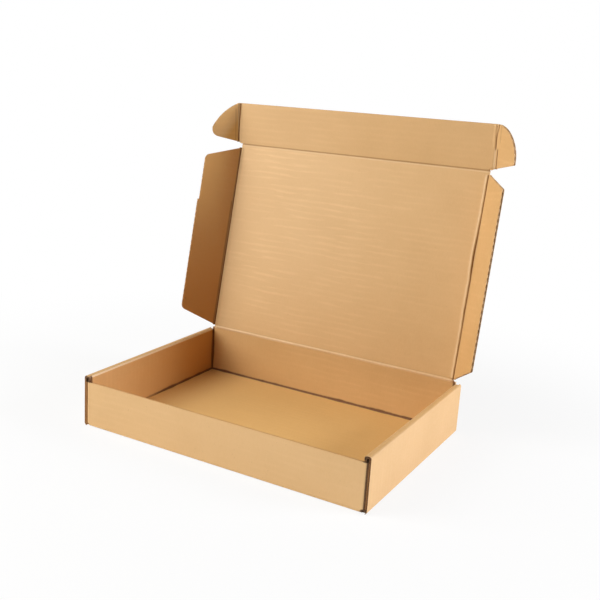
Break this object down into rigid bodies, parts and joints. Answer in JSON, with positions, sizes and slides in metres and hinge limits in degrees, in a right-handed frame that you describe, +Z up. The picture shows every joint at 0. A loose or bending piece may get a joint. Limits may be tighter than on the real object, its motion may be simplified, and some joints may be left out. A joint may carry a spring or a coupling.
{
  "type": "corrugated mailer box",
  "caption": "Open corrugated mailer box: tray with rolled double side walls, hinged lid, tuck-in front flap with rounded ears, and lid side flaps.",
  "frame": {"origin": "middle of the tray's flat underside", "axes": "+X along the box's length, -Y towards its front wall, +Z up"},
  "size_m": [0.3519, 0.2629, 0.3132],
  "materials": {
    "board": "plain brown kraft liner"
  },
  "bodies": {
    "tray": {"tray": "board"},
    "lid": {"lid_panel": "board"},
    "front_flap": {"front_flap": "board"},
    "right_side_flap": {"right_side_flap": "board"},
    "left_side_flap": {"left_side_flap": "board"},
    "right_ear": {"right_ear": "board"},
    "left_ear": {"left_ear": "board"}
  },
  "joints": [
    {"name": "lid_hinge", "type": "hinge", "parent": "tray", "child": "lid", "pos_m": [0, 0.109, 0.0551], "axis": [1, 0, 0], "range_deg": [-78, 42]},
    {"name": "front_flap_fold", "type": "hinge", "parent": "lid", "child": "front_flap", "pos_m": [0, 0.15198, 0.26637], "axis": [1, 0, 0], "range_deg": [-15.3, 64]},
    {"name": "right_side_flap_fold", "type": "hinge", "parent": "lid", "child": "right_side_flap", "pos_m": [0.14745, 0.13049, 0.16074], "axis": [0, -0.1994, -0.9799], "range_deg": [-54, 36]},
    {"name": "left_side_flap_fold", "type": "hinge", "parent": "lid", "child": "left_side_flap", "pos_m": [-0.14745, 0.13049, 0.16074], "axis": [0, 0.1994, 0.9799], "range_deg": [-54, 36]},
    {"name": "right_ear_fold", "type": "hinge", "parent": "front_flap", "child": "right_ear", "pos_m": [0.1518, 0.15046, 0.28932], "axis": [0, 0.0663, -0.9978], "range_deg": [-40, 50]},
    {"name": "left_ear_fold", "type": "hinge", "parent": "front_flap", "child": "left_ear", "pos_m": [-0.1518, 0.15046, 0.28932], "axis": [0, -0.0663, 0.9978], "range_deg": [-48, 42]}
  ]
}
